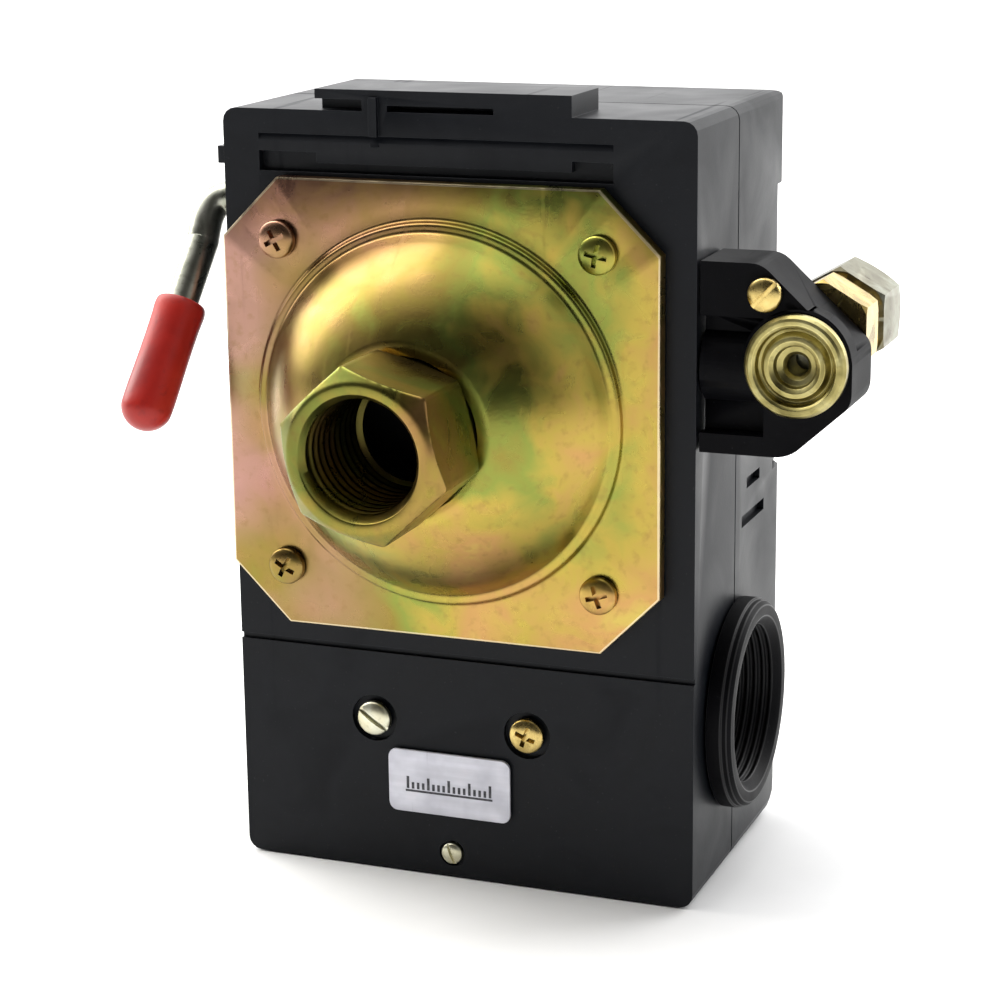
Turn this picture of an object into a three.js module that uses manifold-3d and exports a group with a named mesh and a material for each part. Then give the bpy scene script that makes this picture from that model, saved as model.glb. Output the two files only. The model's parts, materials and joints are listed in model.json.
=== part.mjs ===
// Pressure switch for a small air compressor, standing on its lower end.
// X is to the right, Y to the back, Z up; millimetres.
// The origin is on the flat lower end at mid depth, on the pressure port's X.
import * as THREE from "three";
import { mergeVertices } from "three/addons/utils/BufferGeometryUtils.js";
import Module from "manifold-3d";

const wasm = await Module();
wasm.setup();

// ---- driving dimensions ----
const GAP = 0.3;
const HOUSING = { left: -27, right: 30, height: 91, front: -18.75, back: 18.75, wall: 2.2 };
const SEAM = -2.75;
const FRONT_WALL = 3.5;
const PORT_HEIGHT = 57;
const PLATE = { side: 53, corner: 7, thickness: 1.75 };
const PLATE_BACK = HOUSING.front - GAP;
const PLATE_FRONT = PLATE_BACK - PLATE.thickness;
const FLANGE_SCREW_OFFSET = 19.4;
const DOME = {
  ringRadius: 22.2, radius: 20.4, curve: 26.6, edgeSlope: 62, topSlope: 30, rise: 10.6, hole: 9,
};
const HEX = { across: 17.5, mouth: -43.4, face: 8.5, mouthRadius: 7.2, bore: 6.3, neck: 8.7, flange: 9.7 };
const HEX_TURN = (47 * Math.PI) / 180;
const COLLAR = { y: -2.6, z: 20.3, bore: 9.4, neck: 11.2, flange: 12.6, lip: 12, length: 2.9 };
const TAB = { left: -15.3, right: 15.6, depth: 9, top: 93.4 };
const PISTON = { radius: 15, boss: 5 };
const ROCKER = { y: -8.45, thickness: 2, halfWidth: 13.6, bottom: 38, top: 84 };
const ROCKER_PIVOT = { y: -4.5, z: 44 };
const CARRIER_PIVOT = { y: -2, z: 36 };
const RANGE = { x: 0, z: 76, stud: 2, spring: 5.2, wire: 1.1, seat: 8 };
const DIFFERENTIAL = { x: 12, z: 76, stud: 1.25, spring: 3, wire: 0.7, seat: 4 };
const TERMINALS = [-15, -5, 5, 15];
const BLOCK = { left: -20, right: 19.6, back: -5.7, bottom: 5, top: 26 };
const POSTS = [-20.3, 23.3];
const POST_HEIGHT = 44;
const VALVE = { x: 41.6, z: 67 };
const PLUG = { x: 41.5, z: 65.1, radius: 5.7 };
const NUT = { corner: 6.1, start: -1.6, end: 7, mouth: 3.25 };
const EAR = { left: 30.3, right: 47.4, bottom: 54.5, top: 75.9, front: -18.45, back: -9.6 };
const FINGER = { front: -14.5, back: -12.9, bottom: 61.5, top: 67, end: 43.4 };
const FINGER_SLOT = { front: -15, back: -11, bottom: 61, top: 68.2 };
const EAR_SCREW = { x: 37.7, z: 72.6 };
const LEVER = { y: -12.75, z: 79.75, radius: 1.9, innerEnd: -7 };
const CAM = { radius: 2.6, y: 0.74, z: -0.88 };
const GRIP = { radius: 3.1, length: 16.2 };

// ---- shape helpers ----
function solid(geometry) {
  let plain = geometry.index ? geometry.toNonIndexed() : geometry.clone();
  for (const name of Object.keys(plain.attributes)) {
    if (name !== "position") plain.deleteAttribute(name);
  }
  plain = mergeVertices(plain, 1e-4);
  const index = Array.from(plain.index.array);
  const kept = [];
  for (let i = 0; i < index.length; i += 3) {
    const [a, b, c] = index.slice(i, i + 3);
    if (a !== b && b !== c && c !== a) kept.push(a, b, c);
  }
  const positions = Float32Array.from(plain.attributes.position.array);
  if (signedVolume(positions, kept) < 0) {
    for (let i = 0; i < kept.length; i += 3) {
      [kept[i], kept[i + 1]] = [kept[i + 1], kept[i]];
    }
  }
  const triangles = Uint32Array.from(kept);
  return new wasm.Manifold(new wasm.Mesh({ numProp: 3, vertProperties: positions, triVerts: triangles }));
}

function signedVolume(positions, index) {
  const corner = (i) => new THREE.Vector3().fromArray(positions, 3 * index[i]);
  let total = 0;
  for (let i = 0; i < index.length; i += 3) {
    total += corner(i).dot(corner(i + 1).cross(corner(i + 2)));
  }
  return total;
}

function join(first, ...others) {
  return others.reduce((sum, other) => sum.add(other), first);
}

function cut(first, ...others) {
  return others.reduce((rest, other) => rest.subtract(other), first);
}

function box(x0, x1, y0, y1, z0, z1) {
  const geometry = new THREE.BoxGeometry(x1 - x0, y1 - y0, z1 - z0);
  geometry.translate((x0 + x1) / 2, (y0 + y1) / 2, (z0 + z1) / 2);
  return solid(geometry);
}

function rodY(radius, y0, y1, x, z, sides = 24, turn = 0) {
  const geometry = new THREE.CylinderGeometry(radius, radius, y1 - y0, sides);
  geometry.rotateY(turn);
  geometry.translate(x, (y0 + y1) / 2, z);
  return solid(geometry);
}

function rodX(radius, x0, x1, y, z, sides = 20) {
  const geometry = new THREE.CylinderGeometry(radius, radius, x1 - x0, sides);
  geometry.rotateZ(Math.PI / 2);
  geometry.translate((x0 + x1) / 2, y, z);
  return solid(geometry);
}

function hexY(across, y0, y1, x, z) {
  return rodY(across / Math.sqrt(3), y0, y1, x, z, 6, Math.PI / 6);
}

// A turned piece on an axis along Y; the profile lists [radius, y].
function turnedY(profile, x, z, sides = 40) {
  const points = profile.map(([radius, y]) => new THREE.Vector2(radius, y));
  const geometry = new THREE.LatheGeometry(points, sides);
  geometry.translate(x, 0, z);
  return solid(geometry);
}

// A turned ring on an axis along X; the profile lists [radius, x].
function turnedX(profile, y, z, sides = 40) {
  const points = profile.map(([radius, x]) => new THREE.Vector2(radius, x));
  const geometry = new THREE.LatheGeometry(points, sides);
  geometry.rotateZ(-Math.PI / 2);
  geometry.translate(0, y, z);
  return solid(geometry);
}

const EXTRUDE_FRAMES = {
  X: [new THREE.Vector3(0, 1, 0), new THREE.Vector3(0, 0, 1), new THREE.Vector3(1, 0, 0)],
  Y: [new THREE.Vector3(1, 0, 0), new THREE.Vector3(0, 0, 1), new THREE.Vector3(0, -1, 0)],
  Z: [new THREE.Vector3(1, 0, 0), new THREE.Vector3(0, 1, 0), new THREE.Vector3(0, 0, 1)],
};

// Extrudes an outline along one axis: (y, z) along X, (x, z) along Y, (x, y) along Z.
function extrude(shape, axis, from, to) {
  const options = { depth: to - from, bevelEnabled: false, curveSegments: 5 };
  const geometry = new THREE.ExtrudeGeometry(shape, options);
  geometry.applyMatrix4(new THREE.Matrix4().makeBasis(...EXTRUDE_FRAMES[axis]));
  if (axis === "X") geometry.translate(from, 0, 0);
  if (axis === "Y") geometry.translate(0, to, 0);
  if (axis === "Z") geometry.translate(0, 0, from);
  return solid(geometry);
}

function polygon(points) {
  return new THREE.Shape(points.map(([a, b]) => new THREE.Vector2(a, b)));
}

// A rectangle with its own corner radii: low-low, high-low, high-high, low-high. Zero is square.
function roundedRectangle(a0, a1, b0, b1, radii) {
  const corners = [[a0, b0, 1, 1], [a1, b0, -1, 1], [a1, b1, -1, -1], [a0, b1, 1, -1]];
  const points = corners.flatMap(([a, b, inwardA, inwardB], i) => {
    const r = radii[i];
    const steps = r > 0 ? (r > 5 ? 6 : 4) : 0;
    const arc = [];
    for (let k = 0; k <= steps; k += 1) {
      const angle = Math.PI * (1 + i / 2) + (steps ? (Math.PI * k) / (2 * steps) : 0);
      arc.push([a + inwardA * r + r * Math.cos(angle), b + inwardB * r + r * Math.sin(angle)]);
    }
    return arc;
  });
  return polygon(points);
}

// A round wire or rod that follows a curve.
function tube(curve, radius, steps, sides) {
  const ring = [];
  for (let i = 0; i < sides; i += 1) {
    const angle = (2 * Math.PI * i) / sides;
    ring.push([radius * Math.cos(angle), radius * Math.sin(angle)]);
  }
  const options = { steps, extrudePath: curve, bevelEnabled: false };
  return solid(new THREE.ExtrudeGeometry(polygon(ring), options));
}

class Helix extends THREE.Curve {
  constructor(radius, y0, y1, turns, x, z) {
    super();
    Object.assign(this, { radius, y0, y1, turns, x, z });
  }

  getPoint(t, target = new THREE.Vector3()) {
    const angle = 2 * Math.PI * this.turns * t;
    return target.set(
      this.x + this.radius * Math.cos(angle),
      this.y0 + (this.y1 - this.y0) * t,
      this.z + this.radius * Math.sin(angle),
    );
  }
}

function coil(radius, wire, y0, y1, turns, x, z) {
  const curve = new Helix(radius, y0 + wire, y1 - wire, turns, x, z);
  return tube(curve, wire / 2, turns * 10, 6);
}

function screwY(headRadius, headFront, headBack, shankRadius, shankEnd, x, z) {
  const head = rodY(headRadius, headFront, headBack, x, z, 20);
  const shank = rodY(shankRadius, headBack - 0.05, shankEnd, x, z, 12);
  const slot = box(x - headRadius, x + headRadius, headFront - 1, headFront + 0.5, z - 0.3, z + 0.3);
  return cut(join(head, shank), slot);
}

// ---- materials ----
const COLOURS = {
  blackPlastic: [0x111216, 0.32, 0],
  innerPlastic: [0x2a2118, 0.5, 0],
  yellowZinc: [0xb3a25a, 0.3, 1],
  zinc: [0xa9a99c, 0.35, 1],
  brass: [0xc2a14b, 0.3, 1],
  redVinyl: [0xb81d16, 0.4, 0],
  rubber: [0x1b1b1b, 0.8, 0],
  label: [0xb9b6c2, 0.35, 0.3],
};

function material(name) {
  const [color, roughness, metalness] = COLOURS[name];
  return new THREE.MeshStandardMaterial({ color, roughness, metalness });
}

const group = new THREE.Group();

function add(name, body, finish) {
  const mesh = body.getMesh();
  const geometry = new THREE.BufferGeometry();
  geometry.setAttribute("position", new THREE.BufferAttribute(Float32Array.from(mesh.vertProperties), 3));
  geometry.setIndex(Array.from(mesh.triVerts));
  geometry.computeVertexNormals();
  const part = new THREE.Mesh(geometry, material(finish));
  part.name = name;
  group.add(part);
}

// ---- housing ----
function housingOutline(inset, radius) {
  const r = Math.max(radius - inset, 0.4);
  const { left, right, height } = HOUSING;
  return roundedRectangle(left + inset, right - inset, inset, height - inset, [r, r, r, r]);
}

function collarHole(x0, x1) {
  return rodX(COLLAR.neck + GAP, x0, x1, COLLAR.y, COLLAR.z, 40);
}

function slotForFinger(x0, x1) {
  return box(x0, x1, FINGER_SLOT.front, FINGER_SLOT.back, FINGER_SLOT.bottom, FINGER_SLOT.top);
}

function topTab() {
  const { front } = HOUSING;
  const roof = HOUSING.height;
  const tab = box(TAB.left, TAB.right, front, front + TAB.depth, roof - 6, TAB.top);
  const window = box(-6.4, 6.4, front - 1, front + 3, roof - 1.5, roof + 0.7);
  const rib = box(-8.5, -7.5, front - 0.6, front + 1, roof - 4, TAB.top - 0.8);
  const lipNotch = box(TAB.left - 1, -9.5, front - 1, front + 2, roof - 0.2, roof + 1.3);
  return join(cut(tab, window, lipNotch), rib);
}

function housingBase() {
  const { left, right, height, front, wall } = HOUSING;
  const outer = extrude(housingOutline(0, 1.6), "Y", front, SEAM);
  const cavity = box(left + wall, right - wall, front + FRONT_WALL, SEAM + 1, wall, height - wall);
  const recess = rodY(23.3, front - 1, front + 2, 0, PORT_HEIGHT, 48);
  const pistonWell = rodY(PISTON.radius + 0.5, front - 1, front + FRONT_WALL + 1, 0, PORT_HEIGHT, 48);
  const groove = box(-22.5, 20.4, front - 1, front + 1.2, 83.9, 86.2);
  const stepLine = box(left - 1, right + 1, front - 1, front + 0.5, 27.2, 27.9);
  const fingerSlot = slotForFinger(right - wall - 1, right + 1);
  const leverHole = rodX(LEVER.radius + 0.4, left - 1, left + wall + 1, LEVER.y, LEVER.z);
  let base = cut(outer, cavity, recess, pistonWell, groove, stepLine, fingerSlot, leverHole);
  base = join(base, topTab());
  base = join(base, box(left - 1.3, left + 1, front + 1, front + 4, 84.4, 86.4));
  for (const x of POSTS) {
    base = join(base, rodY(3.4, front + 3, -12, x, POST_HEIGHT, 20));
    base = cut(base, rodY(1.9, -14, -11, x, POST_HEIGHT, 12));
  }
  for (const { x, z, stud } of [RANGE, DIFFERENTIAL]) {
    base = cut(base, rodY(stud + 0.3, -17.2, -14, x, z, 16));
  }
  for (const x of [-1, 1]) {
    for (const z of [-1, 1]) {
      const sx = x * FLANGE_SCREW_OFFSET;
      const sz = PORT_HEIGHT + z * FLANGE_SCREW_OFFSET;
      base = join(base, rodY(2.6, front + 3, -14.95, sx, sz, 16));
      base = cut(base, rodY(1.8, front - 1, -14, sx, sz, 12));
    }
  }
  for (const x of [-9.7, 9.7]) {
    base = cut(base, rodY(2.9, front - 1, front + 0.8, x, 18.9, 24));
    base = cut(base, rodY(1.8, front - 1, -14, x, 18.9, 16));
  }
  base = join(base, box(-3, 3, front + 1, -10, wall - 1, 5.6));
  base = cut(base, rodY(1.1, front - 1, -12, 0, 2.9, 12));
  base = cut(base, rodY(1.65, front - 1, front + 0.5, 0, 2.9, 16));
  return cut(base, collarHole(right - wall - 1, right + 1));
}

// The cover's block, shrunk by inset on every side but its open front.
function coverBlock(inset, y0) {
  const { left, right, height, back } = HOUSING;
  const y1 = back - inset;
  const round = (radius) => Math.max(radius - inset, 0.4);
  const side = roundedRectangle(y0, y1, inset, height - inset, [0, round(9), round(3), 0]);
  const plan = roundedRectangle(left + inset, right - inset, y0, y1, [0, 0, round(3), round(3)]);
  return extrude(housingOutline(inset, 1.6), "Y", y0, y1)
    .intersect(extrude(side, "X", left - 1, right + 1))
    .intersect(extrude(plan, "Z", -1, height + 1));
}

function cover() {
  const { right, back, wall } = HOUSING;
  const y0 = SEAM + GAP;
  let shell = cut(coverBlock(0, y0), coverBlock(wall, y0 - 1));
  shell = cut(shell, box(right - 1, right + 1, 13.6, back + 1, 45, 80));
  shell = cut(shell, box(right - 0.8, right + 1, 2.2, 7.8, 45.3, 46.6));
  shell = cut(shell, box(right - 0.8, right + 1, 0.2, 9.8, 40.9, 42.3));
  for (const x of POSTS) {
    shell = cut(shell, rodY(1.9, 10, back + 1, x, POST_HEIGHT, 16));
    shell = cut(shell, rodY(4, back - 0.9, back + 1, x, POST_HEIGHT, 24));
  }
  return cut(shell, collarHole(right - wall - 1, right + 1));
}

function conduitCollar() {
  const inner = HOUSING.right - HOUSING.wall - GAP;
  const outer = HOUSING.right + GAP;
  const { bore, neck, flange, lip, length, y, z } = COLLAR;
  const profile = [
    [bore, inner - 2.4], [lip, inner - 2.4], [lip, inner], [neck, inner],
    [neck, outer], [flange, outer], [flange, outer + length - 0.4], [flange - 0.4, outer + length],
    [bore + 0.5, outer + length], [bore, outer + length - 0.5], [bore, inner - 2.4],
  ];
  return turnedX(profile, y, z, 40);
}

// ---- pressure side ----
// The dome's side is an arc from its steep edge up to the flat land round the hex.
function domeProfile(inset) {
  const { radius, curve, edgeSlope, topSlope } = DOME;
  const degree = Math.PI / 180;
  const centreRadius = radius - curve * Math.sin(edgeSlope * degree);
  const centreY = PLATE_FRONT + curve * Math.cos(edgeSlope * degree);
  const size = curve - inset;
  const start = Math.acos((centreY - PLATE_FRONT) / size);
  const points = [];
  const steps = 8;
  for (let i = 0; i <= steps; i += 1) {
    const slope = start + (topSlope * degree - start) * (i / steps);
    points.push([centreRadius + size * Math.sin(slope), centreY - size * Math.cos(slope)]);
  }
  return points;
}

function flangeCap() {
  const half = PLATE.side / 2;
  const c = half - PLATE.corner;
  const corners = [
    [-c, -half], [c, -half], [half, -c], [half, c], [c, half], [-c, half], [-half, c], [-half, -c],
  ];
  const outline = polygon(corners.map(([x, z]) => [x, z + PORT_HEIGHT]));
  const plate = extrude(outline, "Y", PLATE_FRONT, PLATE_BACK);
  const ring = rodY(DOME.ringRadius, PLATE_FRONT - 0.9, PLATE_BACK - 0.4, 0, PORT_HEIGHT, 56);
  const outer = [[0, PLATE_BACK - 0.4], [DOME.radius, PLATE_BACK - 0.4], ...domeProfile(0)];
  outer.push([0, PLATE_FRONT - DOME.rise]);
  const hollow = domeProfile(1.6);
  const inner = [[0, PLATE_BACK + 1], [hollow[0][0], PLATE_BACK + 1], ...hollow];
  inner.push([0, PLATE_FRONT - DOME.rise + 1.6]);
  let cap = join(plate, ring, turnedY(outer, 0, PORT_HEIGHT, 56));
  cap = cut(cap, turnedY(inner, 0, PORT_HEIGHT, 40), rodY(DOME.hole, -40, -20, 0, PORT_HEIGHT, 32));
  for (const x of [-1, 1]) {
    for (const z of [-1, 1]) {
      const hole = rodY(
        1.8, PLATE_FRONT - 1, PLATE_BACK + 1,
        x * FLANGE_SCREW_OFFSET, PORT_HEIGHT + z * FLANGE_SCREW_OFFSET, 12,
      );
      cap = cut(cap, hole);
    }
  }
  return cap;
}

function portFitting() {
  const domeTop = PLATE_FRONT - DOME.rise;
  const back = domeTop - GAP;
  const corner = HEX.across / Math.sqrt(3);
  const chamfer = turnedY([
    [0, HEX.mouth], [HEX.face, HEX.mouth], [corner + 0.1, HEX.mouth + 1], [corner + 0.1, back], [0, back],
  ], 0, PORT_HEIGHT, 40);
  const hex = rodY(corner, HEX.mouth, back, 0, PORT_HEIGHT, 6, HEX_TURN).intersect(chamfer);
  const neck = rodY(HEX.neck, back - 0.5, domeTop + 2.6, 0, PORT_HEIGHT, 32);
  const flange = rodY(HEX.flange, domeTop + 1.6 + GAP, domeTop + 3.2, 0, PORT_HEIGHT, 32);
  const bore = turnedY([
    [0, HEX.mouth - 1], [HEX.mouthRadius + 0.8, HEX.mouth - 1], [HEX.mouthRadius, HEX.mouth],
    [HEX.bore, HEX.mouth + 1], [HEX.bore - 0.4, -26], [0, -26],
  ], 0, PORT_HEIGHT, 32);
  return cut(join(hex, neck, flange), bore);
}

function diaphragm() {
  const front = HOUSING.front;
  return rodY(23, front, front + 1.7, 0, PORT_HEIGHT, 40);
}

function piston() {
  const front = HOUSING.front + 2;
  const back = ROCKER.y - GAP;
  const skirt = rodY(PISTON.radius, front, front + 3.5, 0, PORT_HEIGHT, 36);
  return join(skirt, rodY(PISTON.boss, front + 3, back, 0, PORT_HEIGHT, 24));
}

// ---- mechanism ----
function mechanismFrame() {
  const inner = ROCKER.halfWidth + 1.3;
  const outer = inner + 1.5;
  const web = box(-outer, outer, -14.95, -13.7, 31, 38);
  const earShape = roundedRectangle(-14.95, 1.2, 31, 48, [0, 1.5, 3, 3]);
  let frame = web;
  for (const side of [-1, 1]) {
    const ear = extrude(earShape, "X", side < 0 ? -outer : inner, side < 0 ? -inner : outer);
    frame = join(frame, ear);
  }
  const pinHole = rodX(1.8, -30, 30, ROCKER_PIVOT.y, ROCKER_PIVOT.z, 16);
  const carrierHole = rodX(1.55, -30, 30, CARRIER_PIVOT.y, CARRIER_PIVOT.z, 16);
  return cut(frame, pinHole, carrierHole);
}

function rocker() {
  const { y, thickness, halfWidth, bottom, top } = ROCKER;
  const back = y + thickness;
  const outline = roundedRectangle(-halfWidth, halfWidth, bottom, top, [1, 1, 3, 3]);
  let plate = extrude(outline, "Y", y, back);
  const wide = extrude(roundedRectangle(-halfWidth, halfWidth + 3, 70, top, [1, 2, 3, 3]), "Y", y, back);
  plate = join(plate, wide);
  for (const side of [-1, 1]) {
    const near = side * (halfWidth - 1.8);
    const far = side * (halfWidth - 0.2);
    const lug = extrude(
      roundedRectangle(back - 0.5, ROCKER_PIVOT.y + 2.6, 40.8, 47.2, [0, 2, 2, 0]),
      "X", Math.min(near, far), Math.max(near, far),
    );
    plate = join(plate, lug);
  }
  return cut(
    plate,
    rodX(1.8, -30, 30, ROCKER_PIVOT.y, ROCKER_PIVOT.z, 16),
    rodY(RANGE.stud + 1.2, y - 1, back + 1, RANGE.x, RANGE.z, 20),
    rodY(DIFFERENTIAL.stud + 1.1, y - 1, back + 1, DIFFERENTIAL.x, DIFFERENTIAL.z, 16),
  );
}

function tripFinger() {
  const rear = ROCKER.y - GAP;
  const thick = FINGER.back - FINGER.front;
  const outline = polygon([
    [7.5, rear - thick], [15.8, rear - thick], [19.6, FINGER.front], [FINGER.end, FINGER.front],
    [FINGER.end, FINGER.back], [20.3, FINGER.back], [16.5, rear], [7.5, rear],
  ]);
  return extrude(outline, "Z", FINGER.bottom, FINGER.top);
}

function adjustingStud({ x, z, stud }, end) {
  return rodY(stud, -16.9, end, x, z, 16);
}

function springSeat({ x, z, stud, spring, seat }) {
  const dish = rodY(spring + 1, seat, seat + 1.2, x, z, 24);
  return cut(dish, rodY(stud + 0.3, seat - 1, seat + 2, x, z, 16));
}

function adjustingNut({ x, z, stud, seat }, across, height) {
  const start = seat + 1.2 + GAP;
  return cut(hexY(across, start, start + height, x, z), rodY(stud + 0.1, 0, 16, x, z, 16));
}

function mechanismSpring({ x, z, spring, wire, seat }, turns) {
  const start = ROCKER.y + ROCKER.thickness + GAP;
  return coil(spring - wire / 2, wire, start - wire / 2, seat - GAP + wire / 2, turns, x, z);
}

function contactCarrier() {
  const { y, z } = CARRIER_PIVOT;
  const plate = box(-14.5, 14.5, y - 1, y + 1, 26, z);
  const hub = rodX(2.6, -14.5, 14.5, y, z, 20);
  const arm = box(-3, 3, y - 1, y + 1, z, 42);
  return cut(join(plate, hub, arm), rodX(1.55, -20, 20, y, z, 16));
}

function contactBridge(side) {
  return box(side * 10 - 7.5, side * 10 + 7.5, -4.1, -3.3, 26.4, 30.4);
}

// ---- terminals ----
function terminalBlock() {
  const { left, right, back, bottom, top } = BLOCK;
  let block = box(left, right, HOUSING.front + FRONT_WALL + GAP, back, bottom + 1, top);
  for (const x of TERMINALS) {
    block = cut(block, rodY(1.9, -13, back + 1, x, 12, 12));
  }
  for (const x of [-20, -10, 0, 10]) {
    const barrier = box(Math.max(x - 0.7, left), x + 0.7, back - 0.5, -2.6, bottom + 1, 23);
    block = join(block, barrier);
  }
  for (const x of [-9.7, 9.7]) {
    block = cut(block, rodY(1.8, -16, -8, x, 18.9, 12));
  }
  return block;
}

function terminalStrip(x) {
  const plate = box(x - 3.6, x + 3.6, BLOCK.back + GAP, BLOCK.back + GAP + 1, 8, 30.5);
  return cut(plate, rodY(1.9, -8, 0, x, 12, 12));
}

function terminalScrew(x) {
  const head = rodY(3.1, -4.1, -2.4, x, 12, 20);
  const shank = rodY(1.55, -12.6, -4, x, 12, 12);
  const slot = box(x - 4, x + 4, -2.9, -2, 11.6, 12.4);
  return cut(join(head, shank), slot);
}

// ---- unloader valve ----
function unloaderBody() {
  const { left, right, bottom, top, front, back } = EAR;
  const outline = new THREE.Shape();
  outline.moveTo(left, bottom);
  outline.lineTo(38.6, bottom);
  outline.quadraticCurveTo(40.2, bottom, 41.4, bottom + 0.9);
  outline.lineTo(right - 0.6, 60.3);
  outline.quadraticCurveTo(right, 61, right, 62.2);
  outline.lineTo(right, 65.2);
  outline.quadraticCurveTo(right, 66.3, right - 0.6, 66.9);
  outline.lineTo(38, top - 0.8);
  outline.quadraticCurveTo(37.1, top, 36, top);
  outline.lineTo(left, top);
  outline.closePath();
  let body = extrude(outline, "Y", front, back);
  body = cut(body, box(left - 1, 37.6, front - 1, front + 2.2, bottom + 2.2, top - 6));
  body = join(body, rodX(3.6, left, 38.6, front + 3.4, 63.6, 24));
  body = cut(body, slotForFinger(left - 1, FINGER.end + 0.5));
  body = cut(body, rodY(3.3, front - 1, FINGER.front, PLUG.x, PLUG.z, 20));
  body = cut(body, rodY(2.7, -12, back + 1, VALVE.x, VALVE.z, 20));
  return cut(body, rodY(1.3, front - 1, front + 4.6, EAR_SCREW.x, EAR_SCREW.z, 12));
}

function unloaderScrew() {
  const front = EAR.front - GAP;
  return screwY(1.9, front - 1.1, front, 1, EAR.front + 4.2, EAR_SCREW.x, EAR_SCREW.z);
}

function exhaustPlug() {
  const back = EAR.front - GAP;
  const profile = [
    [1.4, FINGER.front - 0.6], [2.9, FINGER.front - 0.6], [2.9, back], [PLUG.radius, back],
    [PLUG.radius, back - 1.6], [PLUG.radius - 0.4, back - 2], [4.3, back - 2], [3.9, back - 1.4],
    [2.4, back - 1.4], [1.4, back - 0.8], [1.4, FINGER.front - 0.6],
  ];
  return turnedY(profile, PLUG.x, PLUG.z, 28);
}

function unloaderFitting() {
  const front = EAR.back + GAP;
  const thread = rodY(2.4, -10.6, front + 0.5, VALVE.x, VALVE.z, 20);
  const hex = rodY(5.9, front, front + 5.6, VALVE.x, VALVE.z, 6);
  const waist = rodY(3.9, front + 5.4, 4.2, VALVE.x, VALVE.z, 24);
  const smallBore = rodY(1.6, -12, 6, VALVE.x, VALVE.z, 16);
  const wideBore = rodY(2.5, -5.2, 6, VALVE.x, VALVE.z, 20);
  return cut(join(thread, hex, waist), smallBore, wideBore);
}

function valveStem() {
  const rod = rodY(1.2, FINGER.back + GAP, -4.6, VALVE.x, VALVE.z, 14);
  return join(rod, rodY(2.1, -4.9, -3.3, VALVE.x, VALVE.z, 18));
}

function compressionNut() {
  const { corner, start, end, mouth } = NUT;
  const hex = rodY(corner, start, end, VALVE.x, VALVE.z, 6);
  const rounded = turnedY([
    [0, start], [corner - 0.3, start], [corner + 0.1, start + 0.4],
    [corner + 0.1, end - 0.9], [corner - 0.8, end], [0, end],
  ], VALVE.x, VALVE.z, 28);
  const threadBore = rodY(4.2, start - 1, end - 2, VALVE.x, VALVE.z, 24);
  return cut(hex.intersect(rounded), threadBore, rodY(mouth, 4, end + 1, VALVE.x, VALVE.z, 24));
}

// ---- lever ----
const ARM_START = new THREE.Vector3(-32, LEVER.y - 2.4, LEVER.z - 5);
const ARM_END = new THREE.Vector3(-34.3, -26.9, 56.4);

function offLever() {
  const { y, z, radius, innerEnd } = LEVER;
  const inside = new THREE.LineCurve3(new THREE.Vector3(innerEnd, y, z), new THREE.Vector3(-28.6, y, z));
  const bend = new THREE.CubicBezierCurve3(
    new THREE.Vector3(-28.6, y, z), new THREE.Vector3(-31.4, y, z),
    new THREE.Vector3(-31.9, y - 1.2, z - 1.2), ARM_START,
  );
  const arm = new THREE.LineCurve3(ARM_START, ARM_END);
  const path = new THREE.CurvePath();
  path.add(inside);
  path.add(bend);
  path.add(arm);
  const rod = tube(path, radius, 30, 12);
  const cam = rodX(CAM.radius, innerEnd - 4, innerEnd, y + CAM.y, z + CAM.z, 24);
  return join(rod, cam);
}

function leverGrip() {
  const direction = ARM_END.clone().sub(ARM_START).normalize();
  const profile = [
    [2.2, 0], [2.7, 0], [GRIP.radius, 0.8], [GRIP.radius, GRIP.length - 3],
    [2.6, GRIP.length - 1.2], [1.5, GRIP.length - 0.2], [0, GRIP.length],
    [0, GRIP.length - 2], [2.2, GRIP.length - 2], [2.2, 0],
  ];
  const points = profile.map(([radius, along]) => new THREE.Vector2(radius, along));
  const geometry = new THREE.LatheGeometry(points, 20);
  const turn = new THREE.Quaternion().setFromUnitVectors(new THREE.Vector3(0, 1, 0), direction);
  geometry.applyQuaternion(turn);
  const start = ARM_END.clone().addScaledVector(direction, GAP + 2 - GRIP.length);
  geometry.translate(start.x, start.y, start.z);
  return solid(geometry);
}

// ---- assembly ----
function addHousing() {
  add("housing_base", housingBase(), "blackPlastic");
  add("cover", cover(), "blackPlastic");
  add("conduit_collar", conduitCollar(), "blackPlastic");
  const label = roundedRectangle(-7.75, 7.75, 7.8, 15.6, [1, 1, 1, 1]);
  add("label_plate", extrude(label, "Y", HOUSING.front - GAP - 0.4, HOUSING.front - GAP), "label");
  POSTS.forEach((x, i) => {
    const post = rodY(2.8, -11.7, 16.2, x, POST_HEIGHT, 16);
    const foot = rodY(1.6, -13.8, -11.5, x, POST_HEIGHT, 12);
    const thread = rodY(1.5, 9, 18, x, POST_HEIGHT, 12);
    add(`cover_post_${i + 1}`, cut(join(post, foot), thread), "zinc");
    const head = rodY(3.4, HOUSING.back - 0.6, HOUSING.back + 1, x, POST_HEIGHT, 20);
    const shank = rodY(1.2, 10, HOUSING.back, x, POST_HEIGHT, 12);
    const { back } = HOUSING;
    const slot = box(x - 4, x + 4, back + 0.4, back + 2, POST_HEIGHT - 0.4, POST_HEIGHT + 0.4);
    add(`cover_screw_${i + 1}`, cut(join(head, shank), slot), "zinc");
  });
}

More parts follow.
